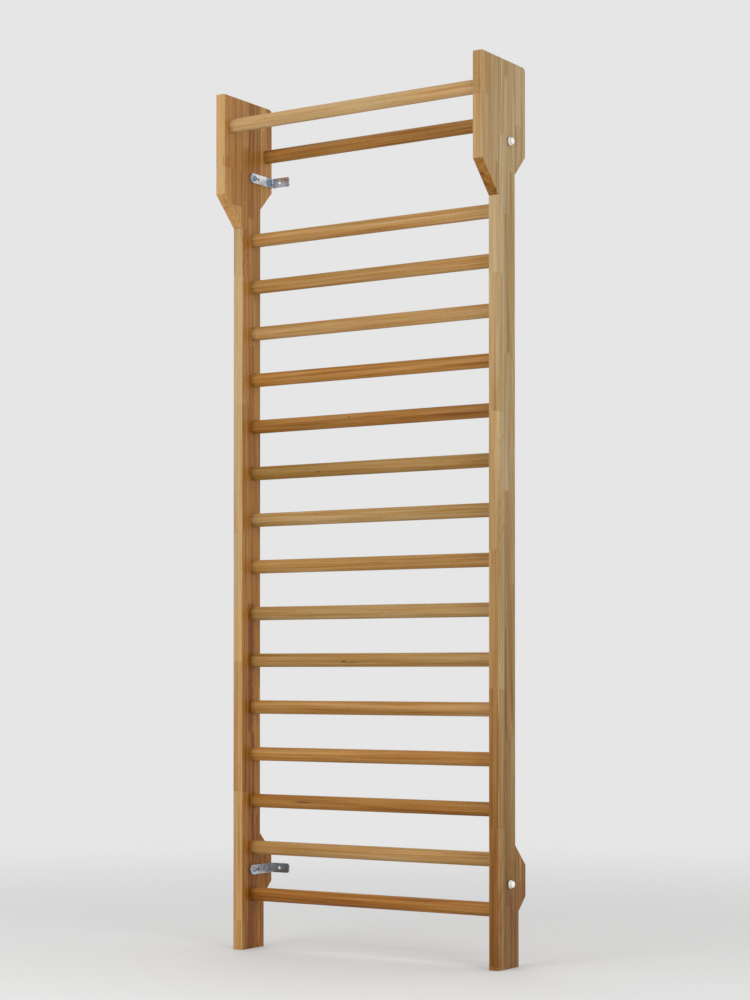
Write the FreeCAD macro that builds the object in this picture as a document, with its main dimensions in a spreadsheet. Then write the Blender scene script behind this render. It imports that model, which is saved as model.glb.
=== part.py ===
import FreeCAD, Part
import Sketcher
import os
import re

# Wall bars: two glued-up beech uprights, seventeen oval rungs and four capped wall brackets.
#
# Row frame: +X is the user's right, +Y points at the wall and +Z is up. The origin is on the floor,
# midway between the uprights and midway between the heads' front and the wall. Millimetres.

SIZES = [
    ("overall_height", 2500, "floor to the top of the heads"),
    ("overall_width", 900, "outer face to outer face of the uprights"),
    ("board_thickness", 32, "uprights, across X"),
    ("board_depth", 92, "main board of an upright, front to back"),
    ("head_projection", 86, "how far a head stands forward of the main board"),
    ("wall_gap", 58, "main board's back edge to the wall"),
    ("head_front_z", 2122, "lower end of a head's slanted front underside"),
    ("head_rear_z", 2191, "lower end of a head's slanted rear underside"),
    ("head_corner_radius", 12, "top rear corner of a head"),
    ("ear_top_z", 280, "upper corner of the foot's ear, at the wall"),
    ("ear_bottom_z", 192, "lower corner of the foot's ear, at the wall"),
    ("foot_gap", 39, "foot's back edge to the wall"),
    ("edge_radius", 2.5, "rounding along an upright's outline"),
    ("rung_depth", 30, "oval rung section, front to back"),
    ("rung_height", 40, "oval rung section, upright"),
    ("rung_tenon", 22, "length of a rung inside each upright"),
    ("glue_gap", 0.1, "clearance round a rung in its mortise"),
    ("rung_pitch", 138, "rung to rung in the main row"),
    ("row_rungs", 15, "rungs in the main row"),
    ("lowest_rung_z", 160, "centre of the lowest rung"),
    ("row_rung_from_wall", 92, "main row's centre to the wall"),
    ("rear_rung_from_wall", 28, "second rung's centre to the wall"),
    ("rear_rung_z", 2353, "centre of the second rung"),
    ("top_rung_from_wall", 200, "top rung's centre to the wall"),
    ("top_rung_z", 2412, "centre of the top rung"),
    ("bolt_from_wall", 91, "bolt axis to the wall"),
    ("upper_bolt_z", 2278, "upper brackets' bolt axis"),
    ("lower_bolt_z", 232, "lower brackets' bolt axis"),
    ("bracket_width", 28, "flat steel, upright"),
    ("bracket_steel", 4, "flat steel thickness"),
    ("bracket_reach", 113, "bracket's leg on the upright, from the wall"),
    ("bracket_wall_leg", 65, "bracket's leg on the wall, from the upright"),
    ("bracket_bend_radius", 6, "outside of the bracket's bend"),
    ("bracket_corner_radius", 6, "corners of the wall leg"),
    ("bracket_tip_radius", 13.9, "end of the leg on the upright, just under half the width"),
    ("bracket_hole", 8.4, "diameter of every hole in a bracket"),
    ("spare_hole_pitch", 18, "bolt hole to the spare hole behind it"),
    ("wall_hole_from_upright", 31, "wall screw hole to the upright's inner face"),
    ("bolt_diameter", 8, "M8"),
    ("bolt_length", 45, "under the head"),
    ("bolt_head_diameter", 14, "button head"),
    ("bolt_head_height", 4.4, "button head"),
    ("bolt_head_round", 4, "rounding of the button head"),
    ("bolt_socket", 5, "hexagon socket, across flats"),
    ("bolt_socket_depth", 2.6, "hexagon socket"),
    ("washer_diameter", 24, "large M8 washer"),
    ("washer_thickness", 2, "large M8 washer"),
    ("nut_flats", 13, "M8 nut, across flats"),
    ("nut_height", 6.5, "M8 nut"),
    ("thread_gap", 0.1, "added to the bolt's diameter in the nut"),
    ("cap_flange_diameter", 22, "nut cover"),
    ("cap_flange_height", 2.5, "nut cover"),
    ("cap_flats", 17.5, "nut cover's hexagon, across flats"),
    ("cap_height", 11, "nut cover, from the washer"),
    ("cap_hollow_flats", 13.4, "space for the nut"),
    ("cap_hollow_depth", 8.2, "space for the nut and the bolt's end"),
    ("cap_round", 3, "rounding of the nut cover's top"),
]

document = FreeCAD.newDocument("wall_bars")


def make_sheet():
    sheet = document.addObject("Spreadsheet::Sheet", "Sizes")
    for row, (alias, value, meaning) in enumerate(SIZES, start=1):
        sheet.set(f"A{row}", meaning)
        sheet.set(f"B{row}", str(value))
        sheet.setAlias(f"B{row}", alias)
    document.recompute()
    return sheet


sizes = make_sheet()

ALIASES = re.compile(r"\b(" + "|".join(alias for alias, _, _ in SIZES) + r")\b")


def bound(text):
    """The expression with each alias read from the sheet."""
    return ALIASES.sub(r"Sizes.\1", text)


def number(text):
    return float(sizes.evalExpression(bound(text)))


def bind(thing, **sizes_of):
    for field, text in sizes_of.items():
        thing.setExpression(field.replace("__", "."), bound(text))


def place(thing, x="0", y="0", z="0"):
    bind(thing, Placement__Base__x=x, Placement__Base__y=y, Placement__Base__z=z)


# Sketches ----------------------------------------------------------------------------------------


def new_body(name):
    body = document.addObject("PartDesign::Body", name)
    body.Label = name
    return body


def origin_feature(body, role):
    return next(item for item in body.Origin.OriginFeatures if item.Role == role)


def new_sketch(body, plane, name):
    sketch = body.newObject("Sketcher::SketchObject", name)
    sketch.AttachmentSupport = [(origin_feature(body, plane), "")]
    sketch.MapMode = "FlatFace"
    return sketch


def dimension(sketch, kind, *where, size):
    """Adds one driving dimension bound to the sheet."""
    index = sketch.addConstraint(Sketcher.Constraint(kind, *where, number(size)))
    sketch.setExpression(f"Constraints[{index}]", bound(size))


def pin_point(sketch, geometry, point, x, y):
    """Fixes a point of the sketch at x, y from the sketch's origin."""
    dimension(sketch, "DistanceX", -1, 1, geometry, point, size=x)
    dimension(sketch, "DistanceY", -1, 1, geometry, point, size=y)


def outline(body, plane, name, points):
    """A closed outline of straight lines through the points, each given as two expressions."""
    sketch = new_sketch(body, plane, name)
    corners = [FreeCAD.Vector(number(x), number(y), 0) for x, y in points]
    for start, end in zip(corners, corners[1:] + corners[:1]):
        sketch.addGeometry(Part.LineSegment(start, end), False)
    for line, (x, y) in enumerate(points):
        before = (line - 1) % len(points)
        sketch.addConstraint(Sketcher.Constraint("Coincident", before, 2, line, 1))
        pin_point(sketch, line, 1, x, y)
    return sketch


def circles(body, plane, name, rows):
    """Circles, each given as x, y and diameter expressions."""
    sketch = new_sketch(body, plane, name)
    for index, (x, y, diameter) in enumerate(rows):
        centre = FreeCAD.Vector(number(x), number(y), 0)
        up = FreeCAD.Vector(0, 0, 1)
        sketch.addGeometry(Part.Circle(centre, up, number(diameter) / 2), False)
        dimension(sketch, "Diameter", index, size=diameter)
        if (x, y) == ("0", "0"):
            sketch.addConstraint(Sketcher.Constraint("Coincident", index, 3, -1, 1))
        else:
            pin_point(sketch, index, 3, x, y)
    return sketch


def hexagon(body, name, flats):
    """A hexagon on the body's XY plane, with two corners on the sketch's upright axis."""
    sketch = new_sketch(body, "XY_Plane", name)
    reach = number(flats) / 3**0.5
    turn = FreeCAD.Rotation(FreeCAD.Vector(0, 0, 1), 60)
    corners = [FreeCAD.Vector(0, reach, 0)]
    for _ in range(5):
        corners.append(turn.multVec(corners[-1]))
    for start, end in zip(corners, corners[1:] + corners[:1]):
        sketch.addGeometry(Part.LineSegment(start, end), False)
    for side in range(6):
        sketch.addConstraint(Sketcher.Constraint("Coincident", side, 2, (side + 1) % 6, 1))
    for side in range(5):
        sketch.addConstraint(Sketcher.Constraint("Equal", side, side + 1))
    corner = FreeCAD.Units.Quantity("120 deg")
    for side in range(1, 3):
        sketch.addConstraint(Sketcher.Constraint("Angle", side, 1, side - 1, 2, corner))
    sketch.addConstraint(Sketcher.Constraint("Symmetric", 0, 1, 3, 1, -1, 1))
    sketch.addConstraint(Sketcher.Constraint("PointOnObject", 0, 1, -2))
    dimension(sketch, "Distance", 0, size=f"{flats} / sqrt(3)")
    return sketch


def oval(body, name, x, y, width, height):
    """An upright ellipse on the body's YZ plane."""
    sketch = new_sketch(body, "YZ_Plane", name)
    centre = FreeCAD.Vector(number(x), number(y), 0)
    top = centre + FreeCAD.Vector(0, number(height) / 2, 0)
    side = centre + FreeCAD.Vector(number(width) / 2, 0, 0)
    sketch.addGeometry(Part.Ellipse(top, side, centre), False)
    sketch.exposeInternalGeometry(0)
    sketch.addConstraint(Sketcher.Constraint("Vertical", 1))
    dimension(sketch, "Distance", 1, size=height)
    dimension(sketch, "Distance", 2, size=width)
    if (x, y) == ("0", "0"):
        sketch.addConstraint(Sketcher.Constraint("Coincident", 0, 3, -1, 1))
    else:
        pin_point(sketch, 0, 3, x, y)
    return sketch


# Features ----------------------------------------------------------------------------------------


def pad(body, sketch, name, length):
    feature = body.newObject("PartDesign::Pad", name)
    feature.Profile = sketch
    bind(feature, Length=length)
    document.recompute()
    return feature


def pocket(body, sketch, name, depth=None, reverse=False):
    """Cuts the sketch out of the body, right through where no depth is given."""
    before = body.Shape.Volume
    feature = body.newObject("PartDesign::Pocket", name)
    feature.Profile = sketch
    feature.Reversed = reverse
    if depth is None:
        feature.Type = "ThroughAll"
    else:
        bind(feature, Length=depth)
    document.recompute()
    if not body.Shape.Volume < before:
        raise RuntimeError(f"{name} cuts nothing from {body.Label}")
    return feature


def round_edges(body, name, radius, chosen):
    """Rounds the edges of the body's tip that the test chooses."""
    base = body.Tip
    edges = [f"Edge{i}" for i, edge in enumerate(base.Shape.Edges, start=1) if chosen(edge)]
    if not edges:
        raise RuntimeError(f"{name} finds no edge on {body.Label}")
    feature = body.newObject("PartDesign::Fillet", name)
    feature.Base = (base, edges)
    bind(feature, Radius=radius)
    document.recompute()
    return feature


def lies_at(edge, **place_of):
    """Whether every end of the edge has the given coordinates, such as x=0."""
    return all(
        abs(getattr(vertex.Point, axis) - value) < 0.01
        for vertex in edge.Vertexes
        for axis, value in place_of.items()
    )


# Uprights ----------------------------------------------------------------------------------------
# Local frame of the right-hand upright: x from its inner face outwards, y from the head's front
# towards the wall, z up from the floor.

HEAD_DEPTH = "(head_projection + board_depth + wall_gap)"
BOARD_BACK = "(head_projection + board_depth)"
INNER_FACE_X = "(overall_width / 2 - board_thickness)"
BETWEEN_REAR_BLOCKS = "((ear_top_z + head_rear_z) / 2)"


def upright_outline():
    head_slant_top = "(head_front_z + head_projection)"
    head_rear_slant_top = "(head_rear_z + wall_gap)"
    ear_slant_top = "(ear_top_z + wall_gap)"
    foot_back = f"({HEAD_DEPTH} - foot_gap)"
    return [
        ("head_projection", "0"),
        ("head_projection", "head_front_z"),
        ("0", head_slant_top),
        ("0", "overall_height"),
        (HEAD_DEPTH, "overall_height"),
        (HEAD_DEPTH, head_rear_slant_top),
        (BOARD_BACK, "head_rear_z"),
        (BOARD_BACK, ear_slant_top),
        (HEAD_DEPTH, "ear_top_z"),
        (HEAD_DEPTH, "ear_bottom_z"),
        (foot_back, "(ear_bottom_z - foot_gap)"),
        (foot_back, "0"),
    ]


def build_upright():
    """The whole glued-up upright, milled to its outline, with its mortises and bolt holes."""
    body = new_body("upright_as_milled")
    pad(body, outline(body, "YZ_Plane", "side_outline", upright_outline()), "board", "board_thickness")
    thickness = number("board_thickness")
    top_back = {"y": number(HEAD_DEPTH), "z": number("overall_height")}
    round_edges(body, "head_corner", "head_corner_radius", lambda edge: lies_at(edge, **top_back))
    round_edges(
        body,
        "softened_edges",
        "edge_radius",
        lambda edge: lies_at(edge, x=0) or lies_at(edge, x=thickness),
    )
    mortise_width = "(rung_depth + 2 * glue_gap)"
    mortise_height = "(rung_height + 2 * glue_gap)"
    rungs = {
        "row_mortise": ("row_rung_from_wall", "lowest_rung_z"),
        "rear_mortise": ("rear_rung_from_wall", "rear_rung_z"),
        "top_mortise": ("top_rung_from_wall", "top_rung_z"),
    }
    for name, (from_wall, height) in rungs.items():
        y = f"({HEAD_DEPTH} - {from_wall})"
        shape = oval(body, f"{name}_oval", y, height, mortise_width, mortise_height)
        cut = pocket(body, shape, name, "rung_tenon", reverse=True)
        if name == "row_mortise":
            repeat_upwards(body, cut)
    bolt_y = f"({HEAD_DEPTH} - bolt_from_wall)"
    holes = [(bolt_y, z, "bracket_hole") for z in ("upper_bolt_z", "lower_bolt_z")]
    pocket(body, circles(body, "YZ_Plane", "bolt_circles", holes), "bolt_holes", reverse=True)
    place(body, x=INNER_FACE_X, y=f"-{HEAD_DEPTH} / 2")
    return body


def repeat_upwards(body, cut):
    pattern = body.newObject("PartDesign::LinearPattern", "row_mortises")
    pattern.Originals = [cut]
    pattern.Direction = (origin_feature(body, "Z_Axis"), [""])
    bind(pattern, Length="rung_pitch * (row_rungs - 1)", Occurrences="row_rungs")
    body.Tip = pattern
    before = cut.Shape.Volume
    document.recompute()
    if not pattern.Shape.Volume < before:
        raise RuntimeError("the row of mortises cuts nothing")


def region(name, y, depth, z, height):
    """The box of wood that one board or block of the right-hand upright is cut from."""
    box = document.addObject("Part::Box", f"{name}_blank")
    bind(box, Length="board_thickness", Width=depth, Height=height)
    place(box, x=INNER_FACE_X, y=f"{y} - {HEAD_DEPTH} / 2", z=z)
    return box


def build_boards():
    """The four glued pieces of each upright, parted along their glue lines."""
    upright = build_upright()
    head_rear_height = f"overall_height - {BETWEEN_REAR_BLOCKS}"
    regions = {
        "board": region("board", "head_projection", "board_depth", "0", "overall_height"),
        "head_front": region(
            "head_front", "0", "head_projection", "head_front_z", "overall_height - head_front_z"
        ),
        "head_rear": region(
            "head_rear", BOARD_BACK, "wall_gap", BETWEEN_REAR_BLOCKS, head_rear_height
        ),
        "foot_rear": region("foot_rear", BOARD_BACK, "wall_gap", "0", BETWEEN_REAR_BLOCKS),
    }
    pieces = []
    for name, blank in regions.items():
        piece = document.addObject("Part::Common", f"right_{name}")
        piece.Base = upright
        piece.Tool = blank
        pieces += both_sides(piece, f"left_{name}")
    return pieces


def both_sides(piece, mirrored_name):
    """The right-hand piece and its mirror image on the left."""
    mirrored = document.addObject("Part::Mirroring", mirrored_name)
    mirrored.Source = piece
    mirrored.Normal = FreeCAD.Vector(1, 0, 0)
    mirrored.Label = mirrored_name
    return [piece, mirrored]


# Rungs -------------------------------------------------------------------------------------------


def build_rung(number_from_top, from_wall, height):
    name = f"rung_{number_from_top:02d}"
    body = new_body(name)
    length = f"(2 * {INNER_FACE_X} + 2 * rung_tenon)"
    pad(body, oval(body, f"{name}_oval", "0", "0", "rung_depth", "rung_height"), "bar", length)
    place(body, x=f"-{length} / 2", y=f"{HEAD_DEPTH} / 2 - {from_wall}", z=height)
    return body


def build_rungs():
    rungs = [
        build_rung(1, "top_rung_from_wall", "top_rung_z"),
        build_rung(2, "rear_rung_from_wall", "rear_rung_z"),
    ]
    row = int(number("row_rungs"))
    for step in range(row):
        height = f"lowest_rung_z + rung_pitch * {row - 1 - step}"
        rungs.append(build_rung(3 + step, "row_rung_from_wall", height))
    return rungs


# Wall brackets and their bolts -------------------------------------------------------------------
# Local frame of a bracket on the right: x from the wall leg's tip towards the upright, y from the
# other leg's tip towards the wall, z up from the lower edge.


def build_bracket(name, bolt_z):
    body = new_body(name)
    inside_x = "(bracket_wall_leg - bracket_steel)"
    inside_y = "(bracket_reach - bracket_steel)"
    angle = [
        ("0", inside_y),
        (inside_x, inside_y),
        (inside_x, "0"),
        ("bracket_wall_leg", "0"),
        ("bracket_wall_leg", "bracket_reach"),
        ("0", "bracket_reach"),
    ]
    pad(body, outline(body, "XY_Plane", f"{name}_angle", angle), "flat_steel", "bracket_width")
    wall_leg = number("bracket_wall_leg")
    reach = number("bracket_reach")
    inner = {"x": number(inside_x), "y": number(inside_y)}
    round_edges(
        body, "bend_outside", "bracket_bend_radius", lambda edge: lies_at(edge, x=wall_leg, y=reach)
    )
    round_edges(
        body,
        "bend_inside",
        "bracket_bend_radius - bracket_steel",
        lambda edge: lies_at(edge, **inner),
    )
    width = number("bracket_width")
    round_edges(
        body,
        "rounded_tip",
        "bracket_tip_radius",
        lambda edge: lies_at(edge, y=0, z=0) or lies_at(edge, y=0, z=width),
    )
    round_edges(
        body,
        "wall_leg_corners",
        "bracket_corner_radius",
        lambda edge: lies_at(edge, x=0, z=0) or lies_at(edge, x=0, z=width),
    )
    middle = "bracket_width / 2"
    bolt_y = "(bracket_reach - bolt_from_wall)"
    holes = [
        (bolt_y, middle, "bracket_hole"),
        (f"({bolt_y} + spare_hole_pitch)", middle, "bracket_hole"),
    ]
    pocket(body, circles(body, "YZ_Plane", f"{name}_holes", holes), "upright_holes", reverse=True)
    wall_hole = [("(bracket_wall_leg - wall_hole_from_upright)", middle, "bracket_hole")]
    pocket(body, circles(body, "XZ_Plane", f"{name}_wall_hole", wall_hole), "wall_hole")
    place(
        body,
        x=f"{INNER_FACE_X} - bracket_wall_leg",
        y=f"{HEAD_DEPTH} / 2 - bracket_reach",
        z=f"{bolt_z} - {middle}",
    )
    return body


Z_TO_X = FreeCAD.Rotation(FreeCAD.Vector(0, 1, 0), 90)
NUT_FACE_X = "overall_width / 2 + washer_thickness"


def along_bolt(body, x, bolt_z):
    """Turns a body's own +Z axis to the row's +X and puts it on a bolt's axis at x."""
    body.Placement = FreeCAD.Placement(FreeCAD.Vector(), Z_TO_X)
    place(body, x=x, y=f"{HEAD_DEPTH} / 2 - bolt_from_wall", z=bolt_z)
    return body


def build_bolt(name, bolt_z):
    """A button-head bolt: the head lies on the bracket and the shank runs out through the board."""
    body = new_body(name)
    head = circles(body, "XY_Plane", f"{name}_head", [("0", "0", "bolt_head_diameter")])
    pad(body, head, "head", "bolt_head_height")
    round_edges(body, "button", "bolt_head_round", lambda edge: lies_at(edge, z=0))
    socket = hexagon(body, f"{name}_socket", "bolt_socket")
    pocket(body, socket, "socket", "bolt_socket_depth", reverse=True)
    shank = circles(body, "XY_Plane", f"{name}_shank", [("0", "0", "bolt_diameter")])
    bind(shank, AttachmentOffset__Base__z="bolt_head_height")
    pad(body, shank, "shank", "bolt_length")
    return along_bolt(body, f"{INNER_FACE_X} - bracket_steel - bolt_head_height", bolt_z)


def build_washer(name, bolt_z):
    body = new_body(name)
    rings = [("0", "0", "washer_diameter"), ("0", "0", "bracket_hole")]
    pad(body, circles(body, "XY_Plane", f"{name}_ring", rings), "ring", "washer_thickness")
    return along_bolt(body, "overall_width / 2", bolt_z)


def build_nut(name, bolt_z):
    body = new_body(name)
    pad(body, hexagon(body, f"{name}_hexagon", "nut_flats"), "block", "nut_height")
    thread = circles(body, "XY_Plane", f"{name}_thread", [("0", "0", "bolt_diameter + thread_gap")])
    pocket(body, thread, "thread", reverse=True)
    return along_bolt(body, NUT_FACE_X, bolt_z)


def build_cap(name, bolt_z):
    """A flanged hexagonal cover on the washer, hollow over the nut and the bolt's end."""
    body = new_body(name)
    top = number("cap_height")
    pad(body, hexagon(body, f"{name}_hexagon", "cap_flats"), "cover", "cap_height")
    round_edges(body, "crown", "cap_round", lambda edge: lies_at(edge, z=top))
    rim = circles(body, "XY_Plane", f"{name}_rim", [("0", "0", "cap_flange_diameter")])
    pad(body, rim, "flange", "cap_flange_height")
    hollow = hexagon(body, f"{name}_hollow", "cap_hollow_flats")
    pocket(body, hollow, "nut_space", "cap_hollow_depth", reverse=True)
    return along_bolt(body, NUT_FACE_X, bolt_z)


def build_wall_fixings():
    makers = {
        "bracket": build_bracket,
        "bolt": build_bolt,
        "washer": build_washer,
        "nut": build_nut,
        "cap": build_cap,
    }
    pieces = []
    for level in ("upper", "lower"):
        for kind, maker in makers.items():
            piece = maker(f"{kind}_{level}_right", f"{level}_bolt_z")
            pieces += both_sides(piece, f"{kind}_{level}_left")
    return pieces


# Checks and files --------------------------------------------------------------------------------


def check_document(nodes):
    document.recompute()
    for thing in document.Objects:
        if {"Invalid", "Error"} & set(thing.State):
            raise RuntimeError(f"{thing.Label} failed: {thing.State}")
    for node in nodes:
        if node.Shape.isNull() or not node.Shape.isValid() or len(node.Shape.Solids) != 1:
            raise RuntimeError(f"{node.Label} is not one valid solid")


def write_files(nodes):
    os.makedirs("parts", exist_ok=True)
    for node in nodes:
        node.Shape.exportStep(f"parts/{node.Label}.step")
    print(len(nodes), "pieces written")


nodes = build_boards() + build_rungs() + build_wall_fixings()
check_document(nodes)
write_files(nodes)
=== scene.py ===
import math
import random

import bpy
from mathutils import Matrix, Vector


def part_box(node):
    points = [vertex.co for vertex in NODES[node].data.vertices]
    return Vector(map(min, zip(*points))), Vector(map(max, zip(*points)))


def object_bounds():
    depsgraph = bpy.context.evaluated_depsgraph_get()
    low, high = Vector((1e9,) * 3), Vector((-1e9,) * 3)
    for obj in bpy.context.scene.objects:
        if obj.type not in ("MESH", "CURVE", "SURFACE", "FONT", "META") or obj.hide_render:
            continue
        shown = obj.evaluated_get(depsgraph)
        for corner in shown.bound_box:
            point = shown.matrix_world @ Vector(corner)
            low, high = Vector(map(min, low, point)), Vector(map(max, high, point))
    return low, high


# Wall bars: two glued-up beech uprights, seventeen oval beech rungs and four sets of zinc-plated
# wall fixings with white covers. Every shape is a CAD node. This script gives each one its
# material, and adds the camera, the lights and the floor. Lengths are in metres.

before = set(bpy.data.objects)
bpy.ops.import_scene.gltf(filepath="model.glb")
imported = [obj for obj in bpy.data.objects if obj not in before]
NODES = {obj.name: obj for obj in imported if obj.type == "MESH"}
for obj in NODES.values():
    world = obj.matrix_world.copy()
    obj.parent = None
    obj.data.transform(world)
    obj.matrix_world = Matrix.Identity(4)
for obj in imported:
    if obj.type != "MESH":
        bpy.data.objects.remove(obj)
CAD_LOW, CAD_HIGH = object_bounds()
BASE = Vector(((CAD_LOW.x + CAD_HIGH.x) / 2, (CAD_LOW.y + CAD_HIGH.y) / 2, CAD_LOW.z))
HEIGHT = CAD_HIGH.z - CAD_LOW.z
SIDES = ("left", "right")

draw = random.Random(1960)

MM = 0.001

# ---------------------------------------------------------------- camera

CAMERA_FROM_BASE = Vector((3.528, -5.404, 0.815))
CAMERA_YAW = math.radians(32.94)
CAMERA_PITCH = math.radians(0.56)
CAMERA_LENS = 81.56
CAMERA_SHIFT_UP = 0.15
CAMERA_REACH = 60.0


def make_camera():
    """The camera stands low, in front of the right upright, and looks a third of a right angle
    leftwards.
    """
    data = bpy.data.cameras.new("camera")
    data.lens = CAMERA_LENS
    data.shift_y = CAMERA_SHIFT_UP
    data.clip_end = CAMERA_REACH
    camera = bpy.data.objects.new("camera", data)
    camera.location = BASE + CAMERA_FROM_BASE
    camera.rotation_euler = (math.pi / 2 + CAMERA_PITCH, 0.0, CAMERA_YAW)
    bpy.context.scene.collection.objects.link(camera)
    bpy.context.scene.camera = camera


# ---------------------------------------------------------------- node trees


class Graph:
    """Adds nodes to one node tree. A value may be a number, a colour, a vector or the output of
    another node.
    """

    def __init__(self, tree):
        self.tree = tree

    def feed(self, socket, value):
        if isinstance(value, bpy.types.NodeSocket):
            self.tree.links.new(value, socket)
        else:
            socket.default_value = value

    def node(self, kind, inputs=None, **settings):
        made = self.tree.nodes.new("ShaderNode" + kind)
        for name, value in settings.items():
            setattr(made, name, value)
        for name, value in (inputs or {}).items():
            self.feed(made.inputs[name], value)
        return made

    def math(self, operation, *values):
        made = self.node("Math", operation=operation)
        for socket, value in zip(made.inputs, values):
            self.feed(socket, value)
        return made.outputs[0]

    def vector_math(self, operation, *values):
        made = self.node("VectorMath", operation=operation)
        for socket, value in zip(made.inputs, values):
            self.feed(socket, value)
        return made.outputs["Value" if operation == "LENGTH" else "Vector"]

    def split(self, vector):
        made = self.node("SeparateXYZ", {"Vector": vector})
        return tuple(made.outputs)

    def join(self, x, y, z):
        return self.node("CombineXYZ", {"X": x, "Y": y, "Z": z}).outputs[0]

    def noise(self, vector, waves, detail, roughness=0.5):
        """Smooth noise from 0 to 1. Waves is how many a metre holds along each axis."""
        scaled = self.vector_math("MULTIPLY", vector, waves)
        inputs = {"Vector": scaled, "Scale": 1.0, "Detail": detail, "Roughness": roughness}
        return self.node("TexNoise", inputs).outputs["Fac"]

    def centred(self, value):
        return self.math("SUBTRACT", value, 0.5)

    def chance(self, vector):
        """A random number from 0 to 1 and three more, the same for each equal vector."""
        made = self.node("TexWhiteNoise", {"Vector": vector})
        return made.outputs["Value"], made.outputs["Color"]

    def between(self, value, low, high, to_low=0.0, to_high=1.0):
        """Value from low to high becomes to_low to to_high, eased and clamped."""
        inputs = {
            "Value": value,
            "From Min": low,
            "From Max": high,
            "To Min": to_low,
            "To Max": to_high,
        }
        return self.node("MapRange", inputs, interpolation_type="SMOOTHSTEP").outputs[0]

    def mix(self, factor, first, second, blend="MIX"):
        made = self.node("Mix", data_type="RGBA", blend_type=blend, clamp_factor=True)
        colours = [s for s in made.inputs if s.type == "RGBA"]
        self.feed(made.inputs["Factor"], factor)
        self.feed(colours[0], first)
        self.feed(colours[1], second)
        return next(s for s in made.outputs if s.type == "RGBA")

    def ramp(self, factor, stops):
        """A colour ramp from (position, colour) stops."""
        made = self.node("ValToRGB", {"Fac": factor})
        elements = made.color_ramp.elements
        while len(elements) < len(stops):
            elements.new(0.5)
        for element, (position, colour) in zip(elements, stops):
            element.position = position
            element.color = (*colour, 1.0)
        return made.outputs["Color"]

    def darken(self, colour, amount):
        """The colour times 1 minus amount."""
        keep = self.math("SUBTRACT", 1.0, amount)
        return self.mix(1.0, colour, self.join(keep, keep, keep), blend="MULTIPLY")


def new_material(name):
    """An empty material, its graph and its Principled shader."""
    material = bpy.data.materials.new(name)
    material.use_nodes = True
    shader = next(n for n in material.node_tree.nodes if n.type == "BSDF_PRINCIPLED")
    return material, Graph(material.node_tree), shader


def dress(node, material):
    """Gives a CAD node that material all over."""
    mesh = NODES[node].data
    mesh.materials.clear()
    mesh.materials.append(material)


# ---------------------------------------------------------------- beech

STRAW = (0.520, 0.340, 0.160)
HONEY = (0.415, 0.235, 0.082)
AMBER = (0.325, 0.158, 0.033)
RUSSET = (0.245, 0.100, 0.010)
UMBER = (0.155, 0.055, 0.003)
BEECH_TONES = ((0.0, STRAW), (0.33, HONEY), (0.62, AMBER), (0.86, RUSSET), (1.0, UMBER))
COOL_CAST = (0.92, 1.04, 1.16, 1.0)
WARM_CAST = (1.13, 0.95, 0.68, 1.0)

RING_WIDTH = 2.7 * MM
RING_WAVER = 2.2 * MM
# the pith lies this far from the piece's origin or up to the spread further, leans and wanders
PITH_NEAREST = 45 * MM
PITH_SPREAD = 90 * MM
PITH_TILT = 0.07
PITH_WANDER = 10 * MM
SEED_SHIFT = (2.0, 2.0, 2.0)

# the dark line that ends a year: where in the year it sets in and stops, and the faintest one
LINE_ONSET = (0.45, 0.92)
LINE_STOP = (0.93, 1.0)
FAINTEST_LINE = 0.2

# how many waves of each pattern a metre holds: twice across the grain, then along it
PITH_WAVES = (0.0, 0.0, 2.4)
RING_WAVES = (38.0, 38.0, 3.0)
BROAD_WAVES = (75.0, 75.0, 1.6)
NARROW_WAVES = (210.0, 210.0, 3.5)
CLOUD_WAVES = (9.0, 9.0, 2.2)
HUE_WAVES = (60.0, 60.0, 2.5)
FIBRE_WAVES = (900.0, 900.0, 16.0)
BROWN_WAVES = (120.0, 120.0, 3.5)
FLECK_WAVES = (1300.0, 1300.0, 240.0)

# where brown streaks and flecks begin and are full, as levels of their noise
BROWN_LEVELS = (0.64, 0.80)
FLECK_LEVELS = (0.66, 0.74)

# how far each pattern moves the tone
BROAD_STREAKS = 1.0
NARROW_STREAKS = 0.75
SLOW_CLOUDS = 0.45
RING_LINES = 0.20
BROWN_STREAKS = 0.10

# how much fibres and flecks darken the colour, roughen the surface and shape its height
FIBRE_MIDDLE = 0.45
FIBRE_SHADE = 0.30
FLECK_SHADE = 0.32
LEAST_ROUGHNESS = 0.38
FIBRE_ROUGHNESS = 0.16
FLECK_HEIGHT = -0.6
LINE_HEIGHT = -0.35


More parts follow.
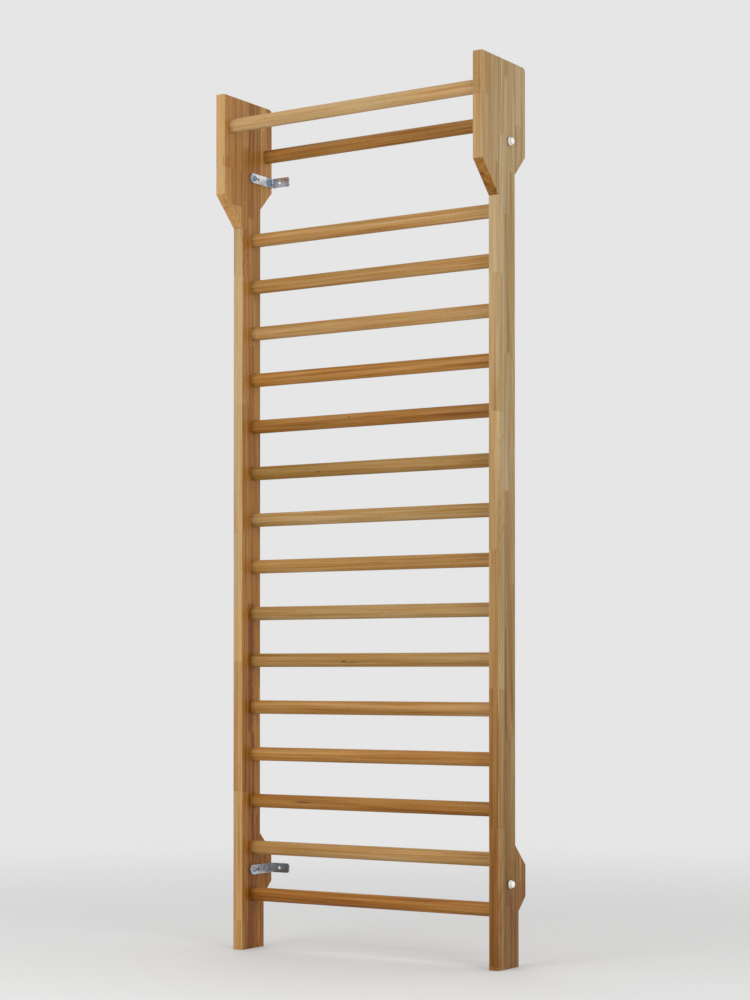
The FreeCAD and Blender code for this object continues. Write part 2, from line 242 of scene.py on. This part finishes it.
def make_beech_group():
    """Solid beech with its grain along Z: a point in metres, three random numbers that choose the
    piece of tree, a tone from 0 pale to 1 dark and a warmth from 0 grey to 1 red give a colour, a
    roughness and a height.

    The growth rings are cylinders round a pith that lies outside the piece, leans and wanders, so
    they show as straight lines on one face, as arches on the next and as arcs on an end.
    """
    tree = bpy.data.node_groups.new("beech", "ShaderNodeTree")
    interface = tree.interface
    interface.new_socket("Point", in_out="INPUT", socket_type="NodeSocketVector")
    interface.new_socket("Seed", in_out="INPUT", socket_type="NodeSocketVector")
    interface.new_socket("Tone", in_out="INPUT", socket_type="NodeSocketFloat")
    interface.new_socket("Warmth", in_out="INPUT", socket_type="NodeSocketFloat")
    interface.new_socket("Color", in_out="OUTPUT", socket_type="NodeSocketColor")
    interface.new_socket("Roughness", in_out="OUTPUT", socket_type="NodeSocketFloat")
    interface.new_socket("Height", in_out="OUTPUT", socket_type="NodeSocketFloat")
    graph = Graph(tree)
    given = tree.nodes.new("NodeGroupInput").outputs
    seed_a, seed_b, seed_c = graph.split(given["Seed"])
    shifted = graph.vector_math("MULTIPLY_ADD", given["Seed"], SEED_SHIFT, given["Point"])
    x, y, z = graph.split(given["Point"])

    # the pith: its direction, its distance, its lean, which is mostly slight, and its slow wander
    turn = graph.math("MULTIPLY", seed_a, 2 * math.pi)
    reach = graph.math("MULTIPLY_ADD", seed_b, PITH_SPREAD, PITH_NEAREST)
    lean = graph.math("POWER", graph.math("SUBTRACT", seed_c, 0.5), 3.0)
    lean = graph.math("MULTIPLY", lean, PITH_TILT / 0.5**3)
    wander = graph.centred(graph.noise(shifted, PITH_WAVES, detail=1.0))
    drift = graph.math("MULTIPLY_ADD", wander, PITH_WANDER, graph.math("MULTIPLY", z, lean))
    pith_x = graph.math("MULTIPLY_ADD", graph.math("COSINE", turn), reach, drift)
    pith_y = graph.math("MULTIPLY_ADD", graph.math("SINE", turn), reach, drift)
    away_x = graph.math("SUBTRACT", x, pith_x)
    away_y = graph.math("SUBTRACT", y, pith_y)
    from_pith = graph.join(away_x, away_y, 0.0)
    waver = graph.centred(graph.noise(shifted, RING_WAVES, detail=2.0))
    radius = graph.math("MULTIPLY_ADD", waver, RING_WAVER, graph.vector_math("LENGTH", from_pith))
    years = graph.math("DIVIDE", radius, RING_WIDTH)

    # each year ends in a thin darker line, and some years are darker than others
    season = graph.math("FRACT", years)
    onset = graph.between(season, *LINE_ONSET)
    line = graph.math("MULTIPLY", onset, graph.between(season, *LINE_STOP, 1.0, 0.0))
    year_chance, _ = graph.chance(graph.join(graph.math("FLOOR", years), seed_a, seed_b))
    strength = graph.math("MULTIPLY_ADD", year_chance, 1.0 - FAINTEST_LINE, FAINTEST_LINE)
    line = graph.math("MULTIPLY", line, strength)

    # streaks, slow clouds, changes of hue, fine fibres, rare brown streaks and the short dark
    # flecks that mark beech
    broad = graph.centred(graph.noise(shifted, BROAD_WAVES, detail=3.0, roughness=0.55))
    narrow = graph.centred(graph.noise(shifted, NARROW_WAVES, detail=1.0))
    cloud = graph.centred(graph.noise(shifted, CLOUD_WAVES, detail=2.0))
    hue = graph.centred(graph.noise(shifted, HUE_WAVES, detail=1.0))
    fibres = graph.noise(shifted, FIBRE_WAVES, detail=2.0, roughness=0.6)
    brown = graph.between(graph.noise(shifted, BROWN_WAVES, detail=1.0), *BROWN_LEVELS)
    flecks = graph.between(graph.noise(shifted, FLECK_WAVES, detail=0.0), *FLECK_LEVELS)

    tone = given["Tone"]
    for pattern, share in (
        (broad, BROAD_STREAKS),
        (narrow, NARROW_STREAKS),
        (cloud, SLOW_CLOUDS),
        (line, RING_LINES),
        (brown, BROWN_STREAKS),
    ):
        tone = graph.math("MULTIPLY_ADD", pattern, share, tone)
    colour = graph.ramp(tone, BEECH_TONES)
    cast = graph.mix(graph.math("ADD", given["Warmth"], hue), COOL_CAST, WARM_CAST)
    colour = graph.mix(1.0, colour, cast, blend="MULTIPLY")
    fibre_shade = graph.math("MULTIPLY", graph.math("SUBTRACT", fibres, FIBRE_MIDDLE), FIBRE_SHADE)
    colour = graph.darken(colour, fibre_shade)
    colour = graph.darken(colour, graph.math("MULTIPLY", flecks, FLECK_SHADE))

    rough = graph.math("MULTIPLY_ADD", fibres, FIBRE_ROUGHNESS, LEAST_ROUGHNESS)
    height = graph.math("MULTIPLY_ADD", flecks, FLECK_HEIGHT, fibres)
    height = graph.math("MULTIPLY_ADD", line, LINE_HEIGHT, height)

    out = tree.nodes.new("NodeGroupOutput").inputs
    graph.feed(out["Color"], colour)
    graph.feed(out["Roughness"], rough)
    graph.feed(out["Height"], height)
    return tree


BEECH = make_beech_group()

WOOD_SPECULAR = 0.22
LACQUER_COAT = 0.06
LACQUER_COAT_ROUGHNESS = 0.30
GRAIN_DEPTH = 0.14 * MM
GRAIN_STRENGTH = 0.4


def grow(graph, point, seed, tone, warmth):
    """A piece of solid beech: its colour, roughness and height."""
    made = graph.node("Group", node_tree=BEECH)
    graph.feed(made.inputs["Point"], point)
    graph.feed(made.inputs["Seed"], seed)
    graph.feed(made.inputs["Tone"], tone)
    graph.feed(made.inputs["Warmth"], warmth)
    return made.outputs["Color"], made.outputs["Roughness"], made.outputs["Height"]


def lacquer(graph, shader, colour, rough, height):
    """Finishes the wood with a clear satin lacquer that lets a little of the grain be felt."""
    graph.feed(shader.inputs["Base Color"], colour)
    graph.feed(shader.inputs["Roughness"], rough)
    shader.inputs["Specular IOR Level"].default_value = WOOD_SPECULAR
    shader.inputs["Coat Weight"].default_value = LACQUER_COAT
    shader.inputs["Coat Roughness"].default_value = LACQUER_COAT_ROUGHNESS
    inputs = {"Height": height, "Strength": GRAIN_STRENGTH, "Distance": GRAIN_DEPTH}
    graph.feed(shader.inputs["Normal"], graph.node("Bump", inputs).outputs[0])


# ---------------------------------------------------------------- uprights

# the staves of each block, from its front edge to its back: where one starts, as a share of the
# block's depth, and how much darker than the block it is
BLOCK_STAVES = {
    "board": ((0.0, -0.15), (0.34, 0.04), (0.66, 0.03)),
    "head_front": ((0.0, 0.06), (0.38, 0.14)),
    "head_rear": ((0.0, -0.02), (0.55, 0.06)),
    "foot_rear": ((0.0, 0.06), (0.60, 0.12)),
}
# the finger-jointed pieces of a stave, and how many pieces' lengths its first joint may lie off
PIECE_LENGTH = 0.38
PIECE_TONE_SPREAD = 0.22
MOST_STAGGER = 7.0
FINGER_LENGTH = 5 * MM
FINGER_PITCH = 4 * MM
SEAM_WIDTH = 0.6 * MM
SEAM_SHADE = 0.5
SEAM_HEIGHT = -1.6
BLOCK_SEAM_WIDTH = 4.0 * MM
BLOCK_SEAM_SHADE = {"left": 0.35, "right": 0.85}
HIGHEST_BLOCK_SEED = 50.0

# the normal's share along an axis where a face begins to count as turned that way, and where it
# counts in full
FACING = (0.4, 0.9)
SLANTED = (0.35, 0.70)

# the tone and warmth of each upright, and the painted light and shade that its face towards the
# user's right adds to them
UPRIGHT_LOOKS = {"left": (0.08, 0.40), "right": (0.22, 0.34)}
RIGHTWARD_PAINTED_LIGHT = {"left": (0.42, 0.62), "right": (-0.03, -0.26)}
# what a single block adds to them
BLOCK_LOOKS = {
    "left_board": (0.05, -0.18),
    "left_head_front": (-0.12, 0.20),
    "left_head_rear": (-0.12, 0.12),
    "left_foot_rear": (-0.08, 0.04),
    "right_board": (0.06, -0.25),
}
# painted shade that the foot adds to them, darker and warmer towards the floor, how much more
# painted shade darkens it, and how far up that fades out
FOOT_PAINTED_LOOKS = {"left": (0.26, 0.50), "right": (0.46, 0.78)}
FOOT_PAINTED_SHADES = {"left": 0.04, "right": 0.28}
FOOT_LOOK_TOPS = {"left": 1.7, "right": 2.1}
# on the face towards the user's right, only this share reaches so far up, and the rest fades out
# between these two heights above the floor
FOOT_SHARE_HIGH = {"left": 1.0, "right": 0.55}
FOOT_LOW_PART = (0.10, 0.55)
# painted shade, darker and warmer, that the front face adds below those heights, and what slanted
# cuts and ends add
FOOT_FRONT_PAINTED_LOOKS = {"left": (0.0, 0.0), "right": (0.22, 0.20)}
END_GRAIN_LOOK = (0.38, 0.35)

# short pale pieces at the lower end of one head: the stave, the length and the tone it adds
PALE_PIECES = {"left_head_front": ((0, 165 * MM, -0.20), (1, 62 * MM, -0.36))}

# a painted highlight along the rounded edges, partly rubbed wear, in patches: its colour,
# strength, patch waves and levels
EDGE_SHEEN_AND_WEAR = (0.58, 0.40, 0.20, 1.0)
EDGE_SHEEN_AND_WEAR_MOST = 0.6
EDGE_SHEEN_AND_WEAR_WAVES = (30.0, 30.0, 7.0)
EDGE_SHEEN_AND_WEAR_LEVELS = (0.42, 0.68)
GLUE_BROWN = (0.120, 0.048, 0.010, 1.0)


def stave_pattern(graph, block, y, low, high):
    """The stave's number, its tone and the distance to the nearest seam between two staves."""
    starts = BLOCK_STAVES[block]
    number = 0.0
    tone = starts[0][1]
    from_seam = 1.0
    for (_, tone_before), (share, tone_after) in zip(starts, starts[1:]):
        seam = low.y + share * (high.y - low.y)
        passed = graph.math("GREATER_THAN", y, seam)
        number = graph.math("ADD", number, passed)
        tone = graph.math("MULTIPLY_ADD", passed, tone_after - tone_before, tone)
        away = graph.math("ABSOLUTE", graph.math("SUBTRACT", y, seam))
        from_seam = graph.math("MINIMUM", away, from_seam)
    return number, tone, from_seam


def upright_material(side, block):
    """Edge-glued, finger-jointed staves along the upright. Each piece of a stave has its own tone
    and grain.
    """
    node = f"{side}_{block}"
    low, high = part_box(node)
    material, graph, shader = new_material(f"{node}_beech")
    point = graph.node("TexCoord").outputs["Object"]
    _, y, z = graph.split(point)
    block_seed = draw.uniform(0.0, HIGHEST_BLOCK_SEED)
    stave, tone, from_seam = stave_pattern(graph, block, y, low, high)
    seam = graph.between(from_seam, 0.0, SEAM_WIDTH, SEAM_SHADE, 0.0)

    # where a block was glued to the board, the glue line is wider
    if block != "board":
        board_low, board_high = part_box(f"{side}_board")
        joint_y = board_low.y if block == "head_front" else board_high.y
        from_joint = graph.math("ABSOLUTE", graph.math("SUBTRACT", y, joint_y))
        shade = BLOCK_SEAM_SHADE[side]
        block_seam = graph.between(from_joint, 0.0, BLOCK_SEAM_WIDTH, shade, 0.0)
        seam = graph.math("MAXIMUM", seam, block_seam)

    # which piece of that stave, with a finger joint between pieces
    stave_chance, _ = graph.chance(graph.join(stave, block_seed, 0.0))
    fingers = graph.math("PINGPONG", graph.math("DIVIDE", y, FINGER_PITCH / 2), 1.0)
    reach = graph.math("MULTIPLY_ADD", fingers, FINGER_LENGTH, z)
    lengths = graph.math("DIVIDE", reach, PIECE_LENGTH)
    run = graph.math("MULTIPLY_ADD", stave_chance, MOST_STAGGER, lengths)
    piece = graph.math("FLOOR", run)
    from_end = graph.math("MULTIPLY", graph.math("FRACT", run), PIECE_LENGTH)
    end_seam = graph.between(from_end, 0.0, SEAM_WIDTH, SEAM_SHADE, 0.0)
    seam = graph.math("MAXIMUM", seam, end_seam)
    piece_chance, piece_seed = graph.chance(graph.join(stave, piece, block_seed))

    # the tone and warmth of the upright, the piece and slanted end grain, and painted light and
    # shade by the face and by the height above the floor
    upright_tone, upright_warmth = UPRIGHT_LOOKS[side]
    block_tone, block_warmth = BLOCK_LOOKS.get(node, (0.0, 0.0))
    warmth = upright_warmth + block_warmth
    normal_x, normal_y, normal_z = graph.split(graph.node("NewGeometry").outputs["Normal"])
    rightward = graph.between(normal_x, *FACING)
    frontward = graph.between(normal_y, -FACING[1], -FACING[0], 1.0, 0.0)
    foot = graph.between(z, 0.0, FOOT_LOOK_TOPS[side], 1.0, 0.0)
    low_foot = graph.between(z, *FOOT_LOW_PART, 1.0, 0.0)
    kept_low = graph.math("MULTIPLY", rightward, 1.0 - FOOT_SHARE_HIGH[side])
    foot = graph.math("MULTIPLY_ADD", kept_low, graph.math("SUBTRACT", low_foot, foot), foot)
    slanted = graph.between(graph.math("ABSOLUTE", normal_z), *SLANTED)
    tone = graph.math("ADD", tone, upright_tone + block_tone)
    tone = graph.math("MULTIPLY_ADD", graph.centred(piece_chance), PIECE_TONE_SPREAD, tone)
    for share, (tone_added, warmth_added) in (
        (rightward, RIGHTWARD_PAINTED_LIGHT[side]),
        (foot, FOOT_PAINTED_LOOKS[side]),
        (graph.math("MULTIPLY", frontward, low_foot), FOOT_FRONT_PAINTED_LOOKS[side]),
        (slanted, END_GRAIN_LOOK),
    ):
        tone = graph.math("MULTIPLY_ADD", share, tone_added, tone)
        warmth = graph.math("MULTIPLY_ADD", share, warmth_added, warmth)
    for pale_stave, pale_length, tone_added in PALE_PIECES.get(node, ()):
        in_stave = graph.math("COMPARE", stave, pale_stave, 0.5)
        in_length = graph.math("LESS_THAN", z, low.z + pale_length)
        inside = graph.math("MULTIPLY", in_stave, in_length)
        tone = graph.math("MULTIPLY_ADD", inside, tone_added, tone)
    colour, rough, height = grow(graph, point, piece_seed, tone, warmth)
    # painted shade: the foot darkened towards the floor
    colour = graph.darken(colour, graph.math("MULTIPLY", foot, FOOT_PAINTED_SHADES[side]))

    # rounded edges get a painted highlight in patches, partly rubbed wear, and glue lines are
    # brown
    flat = graph.math("ABSOLUTE", normal_x)
    across_squared = graph.math("MULTIPLY_ADD", flat, graph.math("MULTIPLY", flat, -1.0), 1.0)
    across = graph.math("SQRT", graph.math("MAXIMUM", across_squared, 0.0))
    edge = graph.math("MULTIPLY", graph.math("MULTIPLY", flat, across), 2.0)
    patches = graph.noise(point, EDGE_SHEEN_AND_WEAR_WAVES, detail=3.0)
    sheen_and_wear = graph.between(patches, *EDGE_SHEEN_AND_WEAR_LEVELS, 0.0, EDGE_SHEEN_AND_WEAR_MOST)
    colour = graph.mix(graph.math("MULTIPLY", edge, sheen_and_wear), colour, EDGE_SHEEN_AND_WEAR)
    colour = graph.mix(seam, colour, GLUE_BROWN)
    height = graph.math("MULTIPLY_ADD", seam, SEAM_HEIGHT, height)
    lacquer(graph, shader, colour, rough, height)
    return material


def dress_uprights():
    for side in SIDES:
        for block in BLOCK_STAVES:
            dress(f"{side}_{block}", upright_material(side, block))


# ---------------------------------------------------------------- rungs

# the tone and warmth of each rung, from the top one down
RUNG_LOOKS = (
    (0.00, 0.48),
    (0.57, 0.64),
    (0.28, 0.58),
    (0.42, 0.55),
    (0.28, 0.44),
    (0.56, 0.82),
    (0.76, 0.68),
    (0.62, 0.14),
    (0.37, 0.26),
    (0.49, 0.54),
    (0.37, 0.15),
    (0.42, 0.32),
    (0.43, 0.64),
    (0.51, 0.82),
    (0.67, 0.70),
    (0.35, 0.48),
    (0.73, 1.00),
)
# painted shade where a rung enters the uprights: how much darker, and how far it reaches
RUNG_END_PAINTED_SHADE = 0.22
RUNG_END_REACH = 25 * MM
STAIN = (0.085, 0.036, 0.014, 1.0)
# the solid middle of a knot or streak, as a share of its size, and how many times its width it
# reaches into the rung
MARK_CORE = 0.3
MARK_REACH = 4.0
# small knots and streaks: how far along the rung and up its height, how long, how wide, how dark
RUNG_MARKS = {
    "rung_03": ((0.52, 0.16, 60 * MM, 2.0 * MM, 0.5),),
    "rung_07": ((0.42, 0.72, 5 * MM, 3.0 * MM, 0.9), (0.86, 0.86, 90 * MM, 2.0 * MM, 0.7)),
    "rung_08": ((0.30, 0.35, 14 * MM, 2.8 * MM, 0.6),),
    "rung_12": ((0.40, 0.40, 10 * MM, 3.4 * MM, 0.9), (0.43, 0.30, 40 * MM, 2.0 * MM, 0.5)),
    "rung_15": ((0.24, 0.52, 50 * MM, 4.0 * MM, 0.7),),
}


def rung_material(node, tone, warmth):
    """One solid piece of beech along X, with painted shade where it enters the uprights."""
    low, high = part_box(node)
    inner_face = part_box("right_board")[0].x
    material, graph, shader = new_material(f"{node}_beech")
    point = graph.node("TexCoord").outputs["Object"]
    x, y, z = graph.split(point)
    along_grain = graph.join(y, z, x)
    seed = Vector((draw.random(), draw.random(), draw.random()))
    colour, rough, height = grow(graph, along_grain, seed, tone, warmth)
    for along, up, length, width, depth in RUNG_MARKS.get(node, ()):
        centre = (low.x + along * (high.x - low.x), low.y, low.z + up * (high.z - low.z))
        away = graph.vector_math("SUBTRACT", point, centre)
        scale = (1 / length, 1 / (MARK_REACH * width), 1 / width)
        away = graph.vector_math("MULTIPLY", away, scale)
        mark = graph.between(graph.vector_math("LENGTH", away), MARK_CORE, 1.0, depth, 0.0)
        colour = graph.mix(mark, colour, STAIN)
    # painted shade towards the ends of the rung
    from_end = graph.math("SUBTRACT", inner_face, graph.math("ABSOLUTE", x))
    end_painted_shade = graph.between(from_end, 0.0, RUNG_END_REACH, RUNG_END_PAINTED_SHADE, 0.0)
    colour = graph.darken(colour, end_painted_shade)
    lacquer(graph, shader, colour, rough, height)
    return material


def dress_rungs():
    for number, (tone, warmth) in enumerate(RUNG_LOOKS, start=1):
        node = f"rung_{number:02d}"
        dress(node, rung_material(node, tone, warmth))


# ---------------------------------------------------------------- fixings

ZINC_BRIGHT = (0.84, 0.86, 0.88, 1.0)
ZINC_BLUE = (0.36, 0.45, 0.58, 1.0)
# the dull grey of cloudy patches, also used for painted shade
ZINC_DULL_AND_SHADE = (0.30, 0.31, 0.32, 1.0)
# how much painted shade darkens the plating: none on the upper brackets, some on the lower ones
# near the floor, more on their faces towards the user, and most on bolts, nuts and washers, where
# it stands for the shadows round them
BRACKET_PAINTED_SHADE = {"upper": 0.0, "lower": 0.30}
WALL_LEG_PAINTED_SHADE = {"upper": 0.0, "lower": 0.55}
FASTENER_PAINTED_SHADE = 0.85
ZINC_CLOUD_WAVES = (60.0, 60.0, 60.0)
ZINC_CLOUD_LEVELS = (0.45, 0.75)
ZINC_BLUE_WAVES = (28.0, 28.0, 40.0)
ZINC_BLUE_LEVELS = (0.52, 0.70)
ZINC_LINE_WAVES = (1500.0, 40.0, 1500.0)
ZINC_SPECKLE_WAVES = (900.0, 900.0, 900.0)
ZINC_SPECKLE_SHADE = 0.18
ZINC_LEAST_ROUGHNESS = 0.12
ZINC_CLOUD_ROUGHNESS = 0.25
ZINC_LINE_ROUGHNESS = 0.10
ZINC_DEPTH = 0.06 * MM
ZINC_STRENGTH = 0.3

CAP_WHITE = (0.96, 0.96, 0.95, 1.0)
CAP_CREAM = (0.90, 0.89, 0.86, 1.0)
CAP_MOTTLE_WAVES = (160.0, 160.0, 160.0)
CAP_SCUFF_WAVES = (500.0, 120.0, 500.0)
CAP_SCUFF_LEVELS = (0.62, 0.75)
CAP_SCUFF_SHADE = 0.15
CAP_LEAST_ROUGHNESS = 0.24
CAP_SCUFF_ROUGHNESS = 0.25
CAP_DEPTH = 0.1 * MM
CAP_STRENGTH = 0.25


def zinc_material(name, painted_shade, wall_leg_painted_shade=0.0):
    """Zinc plating: cloudy patches, some of them bluish, rolling lines along Y and a fine speckle.
    Painted shade darkens it, and the faces towards the user may get more painted shade than the
    rest.
    """
    material, graph, shader = new_material(name)
    point = graph.node("TexCoord").outputs["Object"]
    clouds = graph.noise(point, ZINC_CLOUD_WAVES, detail=3.0, roughness=0.6)
    blues = graph.noise(point, ZINC_BLUE_WAVES, detail=1.0)
    lines = graph.noise(point, ZINC_LINE_WAVES, detail=2.0)
    speckle = graph.noise(point, ZINC_SPECKLE_WAVES, detail=1.0)
    colour = graph.mix(graph.between(blues, *ZINC_BLUE_LEVELS), ZINC_BRIGHT, ZINC_BLUE)
    _, normal_y, _ = graph.split(graph.node("NewGeometry").outputs["Normal"])
    # painted shade: the whole plating and its faces towards the user are mixed towards dull grey
    frontward = graph.between(normal_y, -FACING[1], -FACING[0], wall_leg_painted_shade, 0.0)
    cloudy_and_shaded = graph.between(clouds, *ZINC_CLOUD_LEVELS, painted_shade, 1.0)
    colour = graph.mix(graph.math("ADD", cloudy_and_shaded, frontward), colour, ZINC_DULL_AND_SHADE)
    colour = graph.darken(colour, graph.math("MULTIPLY", speckle, ZINC_SPECKLE_SHADE))
    graph.feed(shader.inputs["Base Color"], colour)
    shader.inputs["Metallic"].default_value = 1.0
    rough = graph.math("MULTIPLY_ADD", clouds, ZINC_CLOUD_ROUGHNESS, ZINC_LEAST_ROUGHNESS)
    rough = graph.math("MULTIPLY_ADD", lines, ZINC_LINE_ROUGHNESS, rough)
    graph.feed(shader.inputs["Roughness"], rough)
    height = graph.math("MULTIPLY_ADD", speckle, 0.5, lines)
    inputs = {"Height": height, "Strength": ZINC_STRENGTH, "Distance": ZINC_DEPTH}
    graph.feed(shader.inputs["Normal"], graph.node("Bump", inputs).outputs[0])
    return material


def cap_material():
    """White moulded plastic, faintly mottled, with light scuffs."""
    material, graph, shader = new_material("white_plastic")
    point = graph.node("TexCoord").outputs["Object"]
    mottle = graph.noise(point, CAP_MOTTLE_WAVES, detail=3.0)
    scuffs = graph.noise(point, CAP_SCUFF_WAVES, detail=3.0)
    scuffs = graph.between(scuffs, *CAP_SCUFF_LEVELS)
    colour = graph.mix(mottle, CAP_WHITE, CAP_CREAM)
    colour = graph.darken(colour, graph.math("MULTIPLY", scuffs, CAP_SCUFF_SHADE))
    graph.feed(shader.inputs["Base Color"], colour)
    rough = graph.math("MULTIPLY_ADD", scuffs, CAP_SCUFF_ROUGHNESS, CAP_LEAST_ROUGHNESS)
    graph.feed(shader.inputs["Roughness"], rough)
    inputs = {"Height": mottle, "Strength": CAP_STRENGTH, "Distance": CAP_DEPTH}
    graph.feed(shader.inputs["Normal"], graph.node("Bump", inputs).outputs[0])
    return material


def dress_fixings():
    fastener_zinc = zinc_material("fastener_zinc", FASTENER_PAINTED_SHADE)
    plastic = cap_material()
    for level, painted_shade in BRACKET_PAINTED_SHADE.items():
        bracket_zinc = zinc_material(f"{level}_bracket_zinc", painted_shade, WALL_LEG_PAINTED_SHADE[level])
        for side in SIDES:
            dress(f"bracket_{level}_{side}", bracket_zinc)
            dress(f"cap_{level}_{side}", plastic)
            for fastener in ("bolt", "washer", "nut"):
                dress(f"{fastener}_{level}_{side}", fastener_zinc)


# ---------------------------------------------------------------- studio

FLOOR_RADIUS = 4.6
FLOOR_SOLID_TO = 0.9
FLOOR_GREYS = ((0.64, 0.64, 0.64, 1.0), (0.69, 0.69, 0.685, 1.0))
FLOOR_WAVES = (60.0, 60.0, 60.0)
FLOOR_ROUGHNESS = 0.8
FLOOR_CORNERS = 96

BACKDROP_GREY = 0.79
# the backdrop's light from the front and from behind, times its light from below and from above
LIGHT_IN_FRONT = 0.62
LIGHT_BEHIND = 0.95
LIGHT_BELOW = 0.68
LIGHT_ABOVE = 1.15

# each soft light: its place from the object's base, its size in metres and its power in watts
SOFT_LIGHTS = {
    "key": ((-0.5, -3.6, 2.3), 1.8, 58.0),
    "fill": ((3.2, -1.4, 1.9), 1.6, 26.0),
}


def make_floor():
    """A pale round floor that fades into the backdrop away from the object."""
    material, graph, shader = new_material("studio_floor")
    point = graph.node("TexCoord").outputs["Object"]
    grain = graph.noise(point, FLOOR_WAVES, detail=3.0)
    graph.feed(shader.inputs["Base Color"], graph.mix(grain, *FLOOR_GREYS))
    shader.inputs["Roughness"].default_value = FLOOR_ROUGHNESS
    away = graph.vector_math("LENGTH", point)
    solid = graph.between(away, FLOOR_SOLID_TO, FLOOR_RADIUS, 1.0, 0.0)
    graph.feed(shader.inputs["Alpha"], solid)
    bpy.ops.mesh.primitive_circle_add(
        vertices=FLOOR_CORNERS, radius=FLOOR_RADIUS, fill_type="NGON"
    )
    floor = bpy.context.object
    floor.name = "studio_floor"
    floor.location = BASE
    floor.data.materials.append(material)


def make_light(name, place, size, power):
    """A square soft light aimed at the middle of the object, itself out of sight."""
    data = bpy.data.lights.new(name, "AREA")
    data.size = size
    data.energy = power
    light = bpy.data.objects.new(name, data)
    light.location = BASE + Vector(place)
    middle = BASE + Vector((0.0, 0.0, HEIGHT / 2))
    light.rotation_euler = (middle - light.location).to_track_quat("-Z", "Y").to_euler()
    light.visible_camera = False
    bpy.context.scene.collection.objects.link(light)


def make_world():
    """An even pale backdrop. The light it gives is stronger from behind and from above."""
    world = bpy.data.worlds.new("studio")
    world.use_nodes = True
    graph = Graph(world.node_tree)
    _, backward, upward = graph.split(graph.node("TexCoord").outputs["Generated"])
    behind = graph.between(backward, -1.0, 1.0, LIGHT_IN_FRONT, LIGHT_BEHIND)
    above = graph.between(upward, -1.0, 1.0, LIGHT_BELOW, LIGHT_ABOVE)
    light = graph.math("MULTIPLY", behind, above)
    seen = graph.node("LightPath").outputs["Is Camera Ray"]
    to_backdrop = graph.math("SUBTRACT", BACKDROP_GREY, light)
    level = graph.math("ADD", light, graph.math("MULTIPLY", seen, to_backdrop))
    background = next(n for n in world.node_tree.nodes if n.type == "BACKGROUND")
    graph.feed(background.inputs["Color"], graph.join(level, level, level))
    bpy.context.scene.world = world
    bpy.context.scene.view_settings.view_transform = "Standard"


make_camera()
dress_uprights()
dress_rungs()
dress_fixings()
make_floor()
for light_name, light_settings in SOFT_LIGHTS.items():
    make_light(light_name, *light_settings)
make_world()
